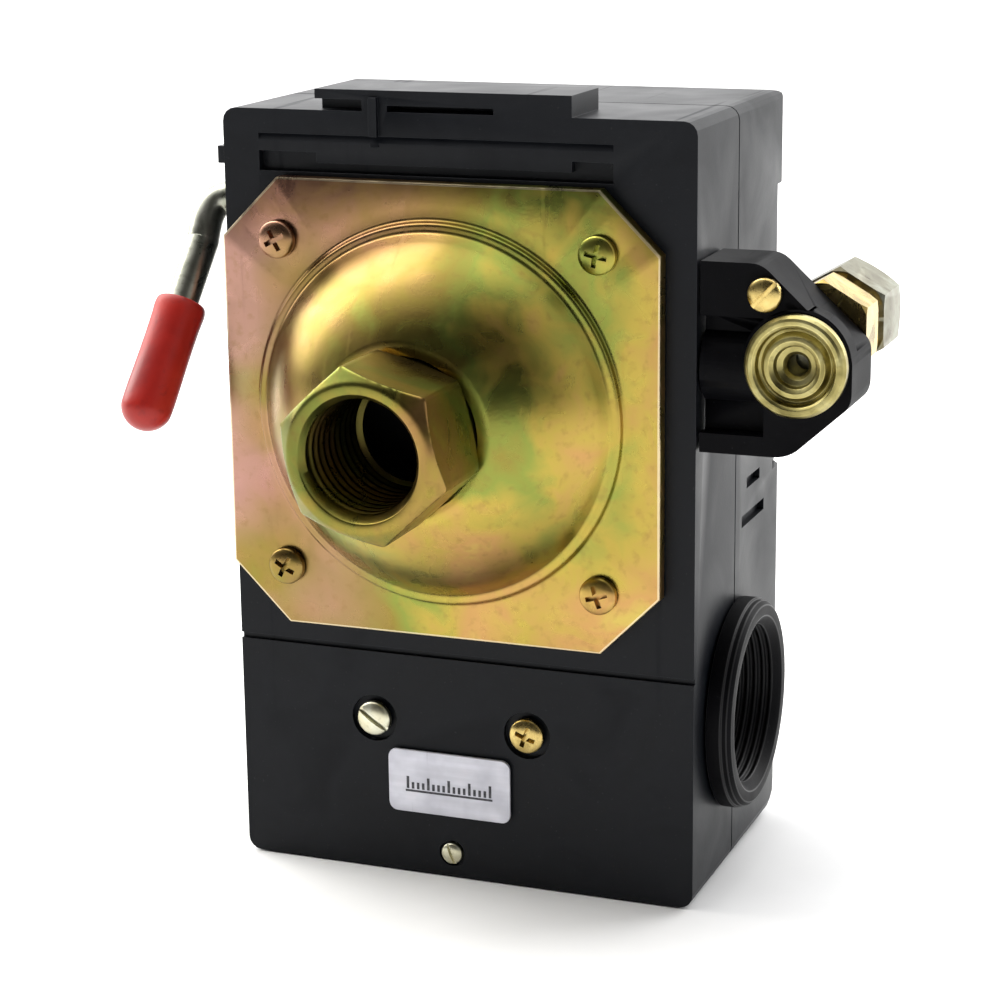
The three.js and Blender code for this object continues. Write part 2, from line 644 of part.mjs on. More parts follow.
function addPressureSide() {
  add("flange_cap", flangeCap(), "yellowZinc");
  add("port_fitting", portFitting(), "yellowZinc");
  let count = 0;
  for (const x of [-1, 1]) {
    for (const z of [-1, 1]) {
      count += 1;
      const front = PLATE_FRONT - GAP;
      const at = [x * FLANGE_SCREW_OFFSET, PORT_HEIGHT + z * FLANGE_SCREW_OFFSET];
      add(`flange_screw_${count}`, screwY(2.2, front - 1.1, front, 1.4, -15.1, ...at), "yellowZinc");
    }
  }
  add("diaphragm", diaphragm(), "rubber");
  add("piston", piston(), "innerPlastic");
}

function addMechanism() {
  add("mechanism_frame", mechanismFrame(), "zinc");
  add("rocker", rocker(), "zinc");
  add("rocker_pin", rodX(1.5, -16.9, 16.9, ROCKER_PIVOT.y, ROCKER_PIVOT.z, 14), "zinc");
  add("trip_finger", tripFinger(), "zinc");
  add("range_stud", adjustingStud(RANGE, 15.4), "zinc");
  add("range_spring", mechanismSpring(RANGE, 6), "zinc");
  add("range_seat", springSeat(RANGE), "zinc");
  add("range_nut", adjustingNut(RANGE, 8, 3.4), "zinc");
  add("differential_stud", adjustingStud(DIFFERENTIAL, 10.6), "zinc");
  add("differential_spring", mechanismSpring(DIFFERENTIAL, 6), "zinc");
  add("differential_seat", springSeat(DIFFERENTIAL), "zinc");
  add("differential_nut", adjustingNut(DIFFERENTIAL, 5.5, 2.6), "zinc");
  add("contact_carrier", contactCarrier(), "innerPlastic");
  add("carrier_pin", rodX(1.25, -16.9, 16.9, CARRIER_PIVOT.y, CARRIER_PIVOT.z, 12), "zinc");
  add("contact_bridge_1", contactBridge(-1), "brass");
  add("contact_bridge_2", contactBridge(1), "brass");
  add("snap_spring", coil(1.6, 0.6, -6.45, -3, 4, 0, 40.4), "zinc");
}

function addTerminals() {
  add("terminal_block", terminalBlock(), "innerPlastic");
  TERMINALS.forEach((x, i) => {
    add(`terminal_strip_${i + 1}`, terminalStrip(x), "brass");
    add(`terminal_screw_${i + 1}`, terminalScrew(x), "zinc");
  });
  [-9.7, 9.7].forEach((x, i) => {
    const front = HOUSING.front + 0.8 - GAP;
    add(`block_screw_${i + 1}`, screwY(2.1, front - 1.4, front, 1.4, -9, x, 18.9), "brass");
  });
  add("ground_screw", screwY(1.3, HOUSING.front - 0.5, HOUSING.front + 0.3, 0.8, -13, 0, 2.9), "brass");
}

function addUnloader() {
  add("unloader_body", unloaderBody(), "blackPlastic");
  add("unloader_screw", unloaderScrew(), "brass");
  add("exhaust_plug", exhaustPlug(), "brass");
  add("unloader_fitting", unloaderFitting(), "brass");
  add("valve_stem", valveStem(), "brass");
  add("valve_spring", coil(1.8, 0.5, -3.2, 3.4, 5, VALVE.x, VALVE.z), "zinc");
  add("compression_nut", compressionNut(), "yellowZinc");
}

addHousing();
addPressureSide();
addMechanism();
addTerminals();
addUnloader();
add("off_lever", offLever(), "zinc");
add("lever_grip", leverGrip(), "redVinyl");

export default group;
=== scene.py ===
# Looks of a small compressor's pressure switch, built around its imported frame.
# Shapes are made in millimetres in the row frame (X right, Y back, Z up) and scaled to metres.
import json
import math

import bmesh
import bpy
from mathutils import Matrix, Vector

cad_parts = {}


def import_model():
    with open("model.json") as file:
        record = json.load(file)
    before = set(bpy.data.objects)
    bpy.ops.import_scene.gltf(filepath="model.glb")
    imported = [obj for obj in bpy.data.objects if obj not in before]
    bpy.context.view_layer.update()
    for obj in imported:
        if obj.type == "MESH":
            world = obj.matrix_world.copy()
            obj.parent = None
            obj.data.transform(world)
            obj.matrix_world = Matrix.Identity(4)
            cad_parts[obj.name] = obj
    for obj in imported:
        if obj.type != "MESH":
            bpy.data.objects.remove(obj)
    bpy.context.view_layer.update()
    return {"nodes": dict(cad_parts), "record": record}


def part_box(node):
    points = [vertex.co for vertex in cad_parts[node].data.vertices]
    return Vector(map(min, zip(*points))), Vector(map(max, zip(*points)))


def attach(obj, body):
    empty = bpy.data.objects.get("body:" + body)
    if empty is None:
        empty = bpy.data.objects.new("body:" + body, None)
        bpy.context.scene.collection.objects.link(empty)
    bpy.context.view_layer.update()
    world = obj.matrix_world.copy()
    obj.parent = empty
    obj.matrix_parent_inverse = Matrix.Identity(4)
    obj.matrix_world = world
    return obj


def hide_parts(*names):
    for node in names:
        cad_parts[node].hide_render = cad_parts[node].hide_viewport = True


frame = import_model()

MM = 0.001
SLOT_OF = {row["node"]: row["material_slot"] for row in frame["record"]["subparts"]}
BODY_OF = {
    node: body
    for body, nodes in frame["record"]["behaviour"]["bodies"].items()
    for node in nodes
}


def box_of(node):
    """Lowest and highest corner of a CAD node, in millimetres."""
    low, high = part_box(node)
    return [c / MM for c in low], [c / MM for c in high]


def middle_of(node):
    low, high = box_of(node)
    return [(a + b) / 2 for a, b in zip(low, high)]


# ---- places taken from the frame ----
(LEFT, _, _), (RIGHT, _, _) = box_of("cover")
FRONT = box_of("housing_base")[0][1]
PORT_X, _, PORT_Z = middle_of("flange_cap")
(_, DOME_TOP, _), (PLATE_HALF, PLATE_BACK, _) = box_of("flange_cap")
PLATE_FRONT = PLATE_BACK - 1.75
PORT_MOUTH = box_of("port_fitting")[0][1]
_, COLLAR_Y, COLLAR_Z = middle_of("conduit_collar")
COLLAR_OUTER = box_of("conduit_collar")[1][0]
(EAR_LEFT, EAR_FRONT, _), (_, EAR_BACK, _) = box_of("unloader_body")
PLUG_X, _, PLUG_Z = middle_of("exhaust_plug")
PLUG_FRONT = box_of("exhaust_plug")[0][1]
VALVE_X, _, VALVE_Z = middle_of("compression_nut")
NUT_START, NUT_END = box_of("compression_nut")[0][1], box_of("compression_nut")[1][1]

# ---- sizes of the visible detail, in millimetres ----
PLATE_CORNER = 7
FLANGE_SCREW_OFFSET = 19.4
FLANGE_SCREW_HOLE = 1.8
DOME = {"ring": 22.2, "proud": 0.9, "radius": 21.1, "hole": 9, "wall": 1.6}
DOME_CURVE = 21.1  # radius of the arc of the dome's side
DOME_SLOPES = (math.radians(62), math.radians(22))
FITTING_FLANGE = 9.7
BARREL_Z = 64
HEX_ACROSS = 17.5
HEX_TURN = math.radians(-17)
PORT_BORE = 6.3
PORT_PITCH = 1.41
COLLAR = {"bore": 9.4, "neck": 11.2, "flange": 12.6, "lip": 12}
LEVER_ROD = 1.9
LEVER_PIVOT = (-12.75, 79.75)
ARM_START = Vector((-32, -15.15, 74.75))
ARM_END = Vector((-34.3, -26.9, 56.4))
GRIP = {"radius": 3.06, "length": 16.2}


# ---- mesh helpers ----
def new_object(name, bm):
    bmesh.ops.recalc_face_normals(bm, faces=bm.faces)
    mesh = bpy.data.meshes.new(name)
    bm.to_mesh(mesh)
    bm.free()
    obj = bpy.data.objects.new(name, mesh)
    bpy.context.scene.collection.objects.link(obj)
    return obj


def box(x0, x1, y0, y1, z0, z1, turn=0.0):
    """A box, which may be turned about its own axis along Y."""
    bm = bmesh.new()
    bmesh.ops.create_cube(bm, size=1)
    size = Matrix.Diagonal((x1 - x0, y1 - y0, z1 - z0, 1))
    centre = Matrix.Translation(((x0 + x1) / 2, (y0 + y1) / 2, (z0 + z1) / 2))
    bm.transform(centre @ Matrix.Rotation(turn, 4, "Y") @ size)
    return new_object("box", bm)


def prism(outline, axis, start, end):
    """Extrudes an outline: (y, z) along X, (x, z) along Y."""
    bm = bmesh.new()
    order = {"X": lambda a, b, t: (t, a, b), "Y": lambda a, b, t: (a, t, b)}[axis]
    near = [bm.verts.new(order(a, b, start)) for a, b in outline]
    far = [bm.verts.new(order(a, b, end)) for a, b in outline]
    bm.faces.new(near)
    bm.faces.new(far)
    for i, vertex in enumerate(near):
        following = (i + 1) % len(near)
        bm.faces.new((vertex, near[following], far[following], far[i]))
    return new_object("prism", bm)


def lathe(profile, a, b, axis="Y", sides=96, turn=0.0, angles=None):
    """Turns (radius, along) pairs about an axis through (a, b); a ring closes on itself.

    A radius may be a function of the angle, for a rim that isn't round or a thread.
    """
    bm = bmesh.new()
    angles = angles or [2 * math.pi * i / sides + turn for i in range(sides)]
    sides = len(angles)
    rings = []
    for radius, along in profile:
        ring = []
        for angle in angles if radius else angles[:1]:
            r = radius(angle) if callable(radius) else radius
            u, v = a + r * math.cos(angle), b + r * math.sin(angle)
            ring.append(bm.verts.new((u, along, v) if axis == "Y" else (along, u, v)))
        rings.append(ring)
    pairs = list(zip(rings, rings[1:]))
    if len(rings[0]) > 1:
        pairs.append((rings[-1], rings[0]))
    for one, two in pairs:
        for i in range(sides):
            k = (i + 1) % sides
            corners = [one[i % len(one)], one[k % len(one)], two[k % len(two)], two[i % len(two)]]
            distinct = list(dict.fromkeys(corners))
            if len(distinct) > 2:
                bm.faces.new(distinct)
    return new_object("turned", bm)


def fillet(profile, size=0.3, steps=4):
    """Rounds the corners of a profile whose radii are plain numbers."""
    soft = [profile[0]]
    for before, corner, after in zip(profile, profile[1:], profile[2:]):
        if any(callable(radius) for radius, _ in (before, corner, after)):
            soft.append(corner)
            continue
        a, b, c = (Vector(p) for p in (before, corner, after))
        if (b - a).length < 1e-6 or (c - b).length < 1e-6 or (b - a).angle(c - b) < 0.3:
            soft.append(corner)
            continue
        start = b + (a - b).normalized() * min(size, (a - b).length * 0.45)
        end = b + (c - b).normalized() * min(size, (c - b).length * 0.45)
        for i in range(steps + 1):
            t = i / steps
            soft.append(tuple(start * (1 - t) ** 2 + b * (2 * t * (1 - t)) + end * t * t))
    return soft + [profile[-1]]


def rod(radius, start, end, a, b, axis="Y", sides=64):
    return lathe([(0, start), (radius, start), (radius, end), (0, end)], a, b, axis, sides)


def sweep(points, radius, sides=32):
    """A round rod along a list of points, with flat ends."""
    bm = bmesh.new()
    across = Vector((0, 1, 0))
    rings = []
    for i, point in enumerate(points):
        ahead = points[min(i + 1, len(points) - 1)] - points[max(i - 1, 0)]
        ahead.normalize()
        across = (across - ahead * across.dot(ahead)).normalized()
        other = ahead.cross(across)
        ring = []
        for k in range(sides):
            angle = 2 * math.pi * k / sides
            offset = across * math.cos(angle) + other * math.sin(angle)
            ring.append(bm.verts.new(point + offset * radius))
        rings.append(ring)
    for one, two in zip(rings, rings[1:]):
        for k in range(sides):
            following = (k + 1) % sides
            bm.faces.new((one[k], one[following], two[following], two[k]))
    bm.faces.new(rings[0])
    bm.faces.new(rings[-1])
    return new_object("rod", bm)


def from_cad(node):
    """A copy of a CAD node's mesh in millimetres, its flat faces merged."""
    bm = bmesh.new()
    bm.from_mesh(frame["nodes"][node].data)
    bm.transform(Matrix.Scale(1 / MM, 4))
    bmesh.ops.remove_doubles(bm, verts=bm.verts, dist=1e-4)
    flat = math.radians(0.5)
    bmesh.ops.dissolve_limit(bm, angle_limit=flat, verts=bm.verts, edges=bm.edges)
    return new_object(node, bm)


SMOOTH_BELOW = 13  # degrees between two faces that shade as one curved surface


def apply_modifiers(obj):
    depsgraph = bpy.context.evaluated_depsgraph_get()
    old = obj.data
    obj.data = bpy.data.meshes.new_from_object(obj.evaluated_get(depsgraph))
    obj.modifiers.clear()
    bpy.data.meshes.remove(old)


def combine(operation, target, *tools):
    for tool in tools:
        modifier = target.modifiers.new("combine", "BOOLEAN")
        modifier.operation = operation
        modifier.solver = "EXACT"
        modifier.object = tool
        apply_modifiers(target)
        bpy.data.objects.remove(tool)
    return target


def join(target, *tools):
    return combine("UNION", target, *tools)


def cut(target, *tools):
    return combine("DIFFERENCE", target, *tools)


def overlap(target, *tools):
    return combine("INTERSECT", target, *tools)


def shade(obj, angle=SMOOTH_BELOW):
    obj.data.shade_smooth()
    obj.data.set_sharp_from_angle(angle=math.radians(angle))


def ease_edges(obj, width, segments=3, angle=30):
    """Rounds every sharp edge, gives it the second material, and shades curved faces smoothly."""
    bevel = obj.modifiers.new("ease", "BEVEL")
    bevel.width = width
    bevel.segments = segments
    bevel.limit_method = "ANGLE"
    bevel.angle_limit = math.radians(angle)
    bevel.use_clamp_overlap = True
    # Bevel faces take the second material; on plastics that is a paler copy, partly a painted sheen.
    bevel.material = 1
    apply_modifiers(obj)
    shade(obj)


# ---- materials ----
class Finish:
    """A procedural material, placed by the object's own coordinates."""

    def __init__(self, name, **constants):
        self.material = bpy.data.materials.new(name)
        self.material.use_nodes = True
        self.nodes = self.material.node_tree.nodes
        self.links = self.material.node_tree.links
        self.shader = self.nodes["Principled BSDF"]
        for socket, value in constants.items():
            self.shader.inputs[socket.replace("_", " ")].default_value = value
        self.place = self.nodes.new("ShaderNodeTexCoord").outputs["Object"]

    def put(self, socket, value):
        """Sets an input to a number or colour, or links it."""
        if isinstance(value, bpy.types.NodeSocket):
            self.links.new(value, socket)
        else:
            socket.default_value = value

    def stretched(self, scale, turn=(0, 0, 0)):
        node = self.nodes.new("ShaderNodeMapping")
        self.links.new(self.place, node.inputs["Vector"])
        node.inputs["Scale"].default_value = scale
        node.inputs["Rotation"].default_value = turn
        return node.outputs["Vector"]

    def noise(self, scale, detail=4, distortion=0, place=None, roughness=0.5):
        node = self.nodes.new("ShaderNodeTexNoise")
        self.links.new(place or self.place, node.inputs["Vector"])
        node.inputs["Scale"].default_value = scale
        node.inputs["Detail"].default_value = detail
        node.inputs["Distortion"].default_value = distortion
        node.inputs["Roughness"].default_value = roughness
        return node.outputs["Fac"]

    def scratches(self, scale, turn):
        """Long thin marks: noise drawn out along one direction, kept only at its peaks."""
        lines = self.noise(scale, detail=2, place=self.stretched((1, 0.03, 0.03), turn))
        return self.fit(lines, 0.66, 0.74, 0, 1)

    def fit(self, value, low, high, out_low, out_high):
        node = self.nodes.new("ShaderNodeMapRange")
        node.clamp = True
        for socket, number in zip(node.inputs, (value, low, high, out_low, out_high)):
            self.put(socket, number)
        return node.outputs["Result"]

    def maths(self, operation, a, b):
        node = self.nodes.new("ShaderNodeMath")
        node.operation = operation
        self.put(node.inputs[0], a)
        self.put(node.inputs[1], b)
        return node.outputs["Value"]

    def along(self, axis):
        node = self.nodes.new("ShaderNodeSeparateXYZ")
        self.links.new(self.place, node.inputs["Vector"])
        return node.outputs[axis]

    def ramp(self, value, stops):
        node = self.nodes.new("ShaderNodeValToRGB")
        self.links.new(value, node.inputs["Fac"])
        elements = node.color_ramp.elements
        while len(elements) < len(stops):
            elements.new(0.5)
        for element, (position, colour) in zip(elements, stops):
            element.position = position
            element.color = (*colour, 1)
        return node.outputs["Color"]

    def mix(self, factor, a, b, blend="MIX"):
        node = self.nodes.new("ShaderNodeMix")
        node.data_type = "RGBA"
        node.blend_type = blend
        self.put(node.inputs["Factor"], factor)
        for socket, value in (("A", a), ("B", b)):
            colour = (*value, 1) if isinstance(value, tuple) else value
            self.put([s for s in node.inputs if s.name == socket and s.type == "RGBA"][0], colour)
        return [s for s in node.outputs if s.type == "RGBA"][0]

    def bump(self, height, distance, strength=1.0, over=None):
        node = self.nodes.new("ShaderNodeBump")
        node.inputs["Strength"].default_value = strength
        node.inputs["Distance"].default_value = distance
        self.links.new(height, node.inputs["Height"])
        if over:
            self.links.new(over, node.inputs["Normal"])
        return node.outputs["Normal"]

    def finish(self, colour, roughness, normal):
        self.put(self.shader.inputs["Base Color"], colour)
        self.put(self.shader.inputs["Roughness"], roughness)
        self.put(self.shader.inputs["Normal"], normal)
        return self.material


def black_plastic(name, dark, light, grain, gloss=0.15):
    """Moulded plastic: a fine sand grain, rubbed patches and hairline marks; its paler copies for rounded
    edges are partly wear and partly a painted sheen.
    """
    f = Finish(name, Specular_IOR_Level=gloss)
    patches = f.noise(90, detail=6, distortion=0.6)
    colour = f.ramp(patches, [(0.3, dark), (0.55, light), (0.75, dark)])
    dust = f.fit(f.noise(2600, detail=2), 0.68, 0.8, 0, 0.25)
    colour = f.mix(dust, colour, (0.05, 0.052, 0.055))
    marks = f.scratches(700, (0.3, 0.2, 0.9))
    roughness = f.maths("ADD", f.fit(patches, 0.3, 0.7, grain, grain + 0.14), 0)
    roughness = f.maths("ADD", roughness, f.maths("MULTIPLY", marks, 0.15))
    fine = f.bump(f.noise(3200, detail=3), 0.00002, 0.5)
    flow = f.bump(f.noise(160, detail=2), 0.00006, 0.35, over=fine)
    return f.finish(colour, roughness, flow)


def yellow_zinc(name="yellow_zinc", rubbed=0.0, depth=1.0):
    """Zinc plate passivated yellow: gold and olive with pink, green and orange clouds.

    rubbed pales it, as on an edge; depth dims it towards black: a darker tone over the whole fitting, and
    a painted shade on the threads deep in the bore.
    """
    f = Finish(name, Metallic=1.0)
    clouds = f.noise(30, detail=3, distortion=1.1)
    veins = f.noise(210, detail=4, distortion=0.8)
    across = f.along("X")
    drift = f.maths("MULTIPLY", across, 4.6)
    fall = f.maths("MULTIPLY", f.maths("SUBTRACT", PORT_Z * MM, f.along("Z")), 3)
    film = f.maths("ADD", f.fit(clouds, 0.25, 0.75, 0.32, 0.68), f.maths("ADD", drift, fall))
    film = f.maths("ADD", film, f.maths("MULTIPLY", f.maths("SUBTRACT", veins, 0.5), 0.16))
    colour = f.ramp(film, [
        (0.26, (0.34, 0.17, 0.12)), (0.36, (0.28, 0.17, 0.06)), (0.45, (0.24, 0.18, 0.04)),
        (0.52, (0.22, 0.25, 0.05)), (0.58, (0.40, 0.30, 0.06)), (0.65, (0.46, 0.26, 0.09)),
        (0.72, (0.52, 0.46, 0.09)), (0.84, (0.24, 0.38, 0.14)),
    ])
    leftward = f.fit(across, -0.006, -0.024, 0, 0.75)
    blush = f.maths("MULTIPLY", leftward, f.fit(f.noise(55, detail=2), 0.4, 0.6, 0, 1))
    colour = f.mix(blush, colour, (0.40, 0.22, 0.19))
    stain = f.fit(f.noise(900, detail=3), 0.55, 0.75, 0, 0.35)
    colour = f.mix(stain, colour, (0.20, 0.12, 0.04))
    colour = f.mix(rubbed, colour, (0.72, 0.62, 0.42))
    # Darkening by depth: a darker tone for the fitting, a painted shade for the bore's threads.
    colour = f.mix(1 - depth, colour, (0.02, 0.014, 0.008))
    marks = f.maths("ADD", f.scratches(900, (0, 0.5, 0)), f.scratches(760, (0, -0.9, 0.4)))
    roughness = f.maths("ADD", f.fit(veins, 0.3, 0.7, 0.24, 0.36), f.maths("MULTIPLY", marks, 0.08))
    fine = f.bump(f.noise(2400, detail=4), 0.000012, 0.6)
    waves = f.bump(f.noise(120, detail=2), 0.00005, 0.25, over=fine)
    return f.finish(colour, roughness, waves)


def plain_metal(name, dark, middle, light, rough):
    """Plated or turned metal with stains and fine turning marks; metal_pair makes its rubbed-edge copy."""
    f = Finish(name, Metallic=1.0)
    clouds = f.noise(260, detail=4, distortion=0.8)
    colour = f.ramp(clouds, [(0.3, dark), (0.5, middle), (0.7, light)])
    tarnish = f.fit(f.noise(1500, detail=3), 0.56, 0.75, 0, 0.4)
    colour = f.mix(tarnish, colour, tuple(c * 0.45 for c in dark))
    marks = f.scratches(1800, (0.2, 0.4, 1.1))
    roughness = f.fit(clouds, 0.3, 0.7, rough, rough + 0.14)
    roughness = f.maths("ADD", roughness, f.maths("MULTIPLY", marks, 0.1))
    return f.finish(colour, roughness, f.bump(f.noise(3000, detail=3), 0.00001, 0.6))


def red_vinyl():
    """Dipped vinyl: glossy red with a soft orange-peel surface and grubby patches."""
    f = Finish("red_vinyl", Specular_IOR_Level=0.35)
    clouds = f.noise(150, detail=4, distortion=0.5)
    colour = f.ramp(clouds, [
        (0.3, (0.24, 0.008, 0.006)), (0.55, (0.38, 0.014, 0.008)), (0.75, (0.46, 0.022, 0.012)),
    ])
    grime = f.fit(f.noise(900, detail=5), 0.58, 0.75, 0, 0.45)
    colour = f.mix(grime, colour, (0.16, 0.01, 0.012))
    roughness = f.fit(clouds, 0.3, 0.7, 0.3, 0.48)
    peel = f.bump(f.noise(1100, detail=2), 0.00004, 0.5)
    return f.finish(colour, roughness, peel)


def rubber():
    f = Finish("rubber", Specular_IOR_Level=0.35)
    clouds = f.noise(300, detail=4)
    colour = f.ramp(clouds, [(0.3, (0.012, 0.012, 0.012)), (0.7, (0.03, 0.029, 0.027))])
    weave = f.bump(f.noise(2200, detail=2), 0.00004, 0.6)
    return f.finish(colour, f.fit(clouds, 0.3, 0.7, 0.6, 0.8), weave)


def foil_label():
    """Brushed silver foil with a faint lilac cast and a few rub marks."""
    f = Finish("foil_label", Metallic=0.55)
    brushed = f.noise(1400, detail=3, place=f.stretched((0.05, 1, 1)))
    clouds = f.noise(260, detail=3)
    colour = f.ramp(clouds, [
        (0.35, (0.50, 0.50, 0.56)), (0.6, (0.62, 0.62, 0.68)), (0.8, (0.70, 0.66, 0.72)),
    ])
    colour = f.mix(f.fit(brushed, 0.35, 0.7, 0, 0.35), colour, (0.42, 0.42, 0.46))
    worn = f.scratches(1200, (0, 0.7, 0))
    colour = f.mix(f.maths("MULTIPLY", worn, 0.5), colour, (0.2, 0.2, 0.22))
    return f.finish(colour, f.fit(brushed, 0.3, 0.7, 0.3, 0.45), f.bump(brushed, 0.00001, 0.5))


def ink():
    f = Finish("ink", Specular_IOR_Level=0.4)
    speckle = f.noise(2500, detail=4)
    colour = f.ramp(speckle, [(0.35, (0.02, 0.02, 0.028)), (0.7, (0.09, 0.09, 0.1))])
    return f.finish(colour, f.fit(speckle, 0.3, 0.7, 0.4, 0.6), f.bump(speckle, 0.000006, 0.4))


def metal_pair(name, dark, middle, light, rough):
    """A metal and the same metal rubbed bright, for its edges."""
    bright = [tuple(min(0.9, c * 1.3) for c in colour) for colour in (dark, middle, light)]
    surface = plain_metal(name, dark, middle, light, rough)
    return surface, plain_metal(f"{name}_edge", *bright, rough * 0.8)


# Each finish is a surface and what its rounded edges look like; the plastics' paler edges are partly wear
# and partly a painted sheen.
FINISHES = {
    "housing": (
        black_plastic("housing_plastic", (0.0035, 0.0042, 0.006), (0.0065, 0.0075, 0.010), 0.34),
        # Paler edge copy: partly wear, partly a painted sheen along the rounded edges.
        black_plastic("housing_edge_wear_and_sheen", (0.014, 0.015, 0.018), (0.022, 0.024, 0.028), 0.3),
    ),
    "inner_plastic": (
        black_plastic("phenolic", (0.018, 0.011, 0.007), (0.035, 0.022, 0.014), 0.5),
        # Paler edge copy: partly wear, partly a painted sheen along the rounded edges.
        black_plastic("phenolic_edge_wear_and_sheen", (0.03, 0.02, 0.013), (0.05, 0.034, 0.022), 0.45),
    ),
    "yellow_zinc": (yellow_zinc(), yellow_zinc("yellow_zinc_edge", rubbed=0.6)),
    "zinc": metal_pair("bright_zinc", (0.22, 0.23, 0.18), (0.36, 0.36, 0.30), (0.52, 0.52, 0.46), 0.24),
    "brass": metal_pair("brass", (0.42, 0.30, 0.10), (0.62, 0.47, 0.17), (0.74, 0.62, 0.30), 0.22),
    "red_grip": (red_vinyl(),),
    "rubber": (rubber(),),
    "label": (foil_label(),),
}
INK = (ink(),)
SEAL_BRASS = metal_pair("dull_brass", (0.20, 0.17, 0.06), (0.36, 0.31, 0.12), (0.55, 0.50, 0.24), 0.3)
NUT_ZINC = metal_pair("nut_zinc", (0.13, 0.11, 0.065), (0.21, 0.20, 0.14), (0.32, 0.33, 0.27), 0.26)
PALE_ZINC = metal_pair("pale_zinc", (0.50, 0.46, 0.30), (0.66, 0.63, 0.46), (0.74, 0.75, 0.62), 0.26)
FITTING_ZINC = (
    yellow_zinc("yellow_zinc_fitting", depth=0.62),
    yellow_zinc("yellow_zinc_fitting_edge", rubbed=0.5),
)
DARK_PLASTIC = (
    black_plastic("dark_plastic", (0.002, 0.002, 0.0026), (0.004, 0.004, 0.005), 0.42, 0.05),
    # Paler edge copy: partly wear, partly a painted sheen along the rounded edges.
    black_plastic("dark_plastic_edge_wear_and_sheen", (0.012, 0.012, 0.013), (0.02, 0.02, 0.021), 0.35),
)
# Painted shade: the threads deep in the bore are darkened in their colour.
BORE_SHADE_ZINC = yellow_zinc("yellow_zinc_bore_shade", depth=0.35)


# ---- putting a piece in place ----
def dress(obj, materials):
    obj.data.materials.clear()
    for material in materials:
        obj.data.materials.append(material)


def place(obj, node, width=0.25, materials=None, name=None, smooth=0):
    """Rounds a piece's edges, scales it to metres and lets it stand for its CAD node."""
    dress(obj, materials or FINISHES[SLOT_OF[node]])
    if width:
        ease_edges(obj, width)
    if smooth:
        shade(obj, smooth)
    obj.data.transform(Matrix.Scale(MM, 4))
    obj.name = name or f"{node}_visible"
    obj.data.name = obj.name
    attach(obj, BODY_OF[node])
    if not name:
        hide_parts(node)
    return obj


# ---- housing ----
def housing_base():
    base = from_cad("housing_base")
    ledge = [(FRONT - 1, 86.3), (FRONT, 86.3), (FRONT + 1, 88.2), (FRONT - 1, 88.2)]
    base = cut(base, prism(ledge, "X", -22.5, 20.4))
    for z in (28.7, 29.6, 30.5):
        base = cut(base, box(LEFT + 1.4, RIGHT - 1.4, FRONT - 1, FRONT + 0.2, z, z + 0.35))
    place(base, "housing_base", 0.28)


def cover():
    shell = from_cad("cover")
    place(shell, "cover", 0.3)


def conduit_collar():
    inner = RIGHT - 2.5
    outer = RIGHT + 0.3
    bore, neck, flange, lip = (COLLAR[k] for k in ("bore", "neck", "flange", "lip"))
    profile = [
        (bore, inner - 2.4), (lip, inner - 2.4), (lip, inner), (neck, inner), (neck, outer),
        (flange, outer), (flange, COLLAR_OUTER - 1.2), (flange - 0.25, COLLAR_OUTER - 1.1),
        (flange - 0.3, COLLAR_OUTER - 0.5), (flange - 0.8, COLLAR_OUTER), (bore + 1.1, COLLAR_OUTER),
        (bore + 0.6, COLLAR_OUTER - 0.4),
    ]
    pitch = 1.0
    depth = COLLAR_OUTER - 0.6 - (inner - 2.0)
    for i in range(int(depth / pitch)):
        start = COLLAR_OUTER - 0.7 - i * pitch
        root = bore + 0.35
        profile += [(root, start), (bore, start - 0.3), (bore, start - 0.5), (root, start - 0.8)]
    place(lathe(profile, COLLAR_Y, COLLAR_Z, "X", 128), "conduit_collar", 0.12, DARK_PLASTIC)


def label_plate():
    (x0, y0, z0), (x1, y1, z1) = box_of("label_plate")
    corner = 1.1
    outline = []
    for i, (x, z) in enumerate(((x0, z0), (x1, z0), (x1, z1), (x0, z1))):
        cx = x + (corner if x == x0 else -corner)
        cz = z + (corner if z == z0 else -corner)
        for k in range(7):
            angle = math.pi * (1 + i / 2 + k / 12)
            outline.append((cx + corner * math.cos(angle), cz + corner * math.sin(angle)))
    plate = prism(outline, "Y", y0, y1)
    place(plate, "label_plate", 0.1)
    scale_marks(x0, x1, y0, z0, z1)


def scale_marks(x0, x1, face, z0, z1):
    """A plain row of graduation ticks printed across the label."""
    count = 17
    step = (x1 - x0 - 5) / (count - 1)
    middle = (z0 + z1) / 2
    ticks = None
    for i in range(count):
        x = x0 + 2.5 + i * step
        tall = 1.5 if i % 4 == 0 else 0.8
        tick = box(x - 0.16, x + 0.16, face - 0.04, face + 0.02, middle - 0.9, middle - 0.9 + tall)
        ticks = join(ticks, tick) if ticks else tick
    line = box(x0 + 2.2, x1 - 2.2, face - 0.04, face + 0.02, middle - 1.3, middle - 1.05)
    place(join(ticks, line), "label_plate", 0, INK, "label_ticks")


# ---- screws ----
def recess(kind, radius, front, x, z, turn):
    """The tool that cuts a slot or a cross into a screw head."""
    long, thin = radius * 1.25, radius * 0.26
    if kind == "slot":
        deep = front + radius * 0.32
        return box(x - long, x + long, front - 1, deep, z - thin / 2, z + thin / 2, turn)
    arm = radius * 0.6
    deep = front + radius * 0.42
    return join(
        box(x - arm, x + arm, front - 1, deep, z - thin / 2, z + thin / 2, turn),
        box(x - arm, x + arm, front - 1, deep, z - thin / 2, z + thin / 2, turn + math.pi / 2),
    )


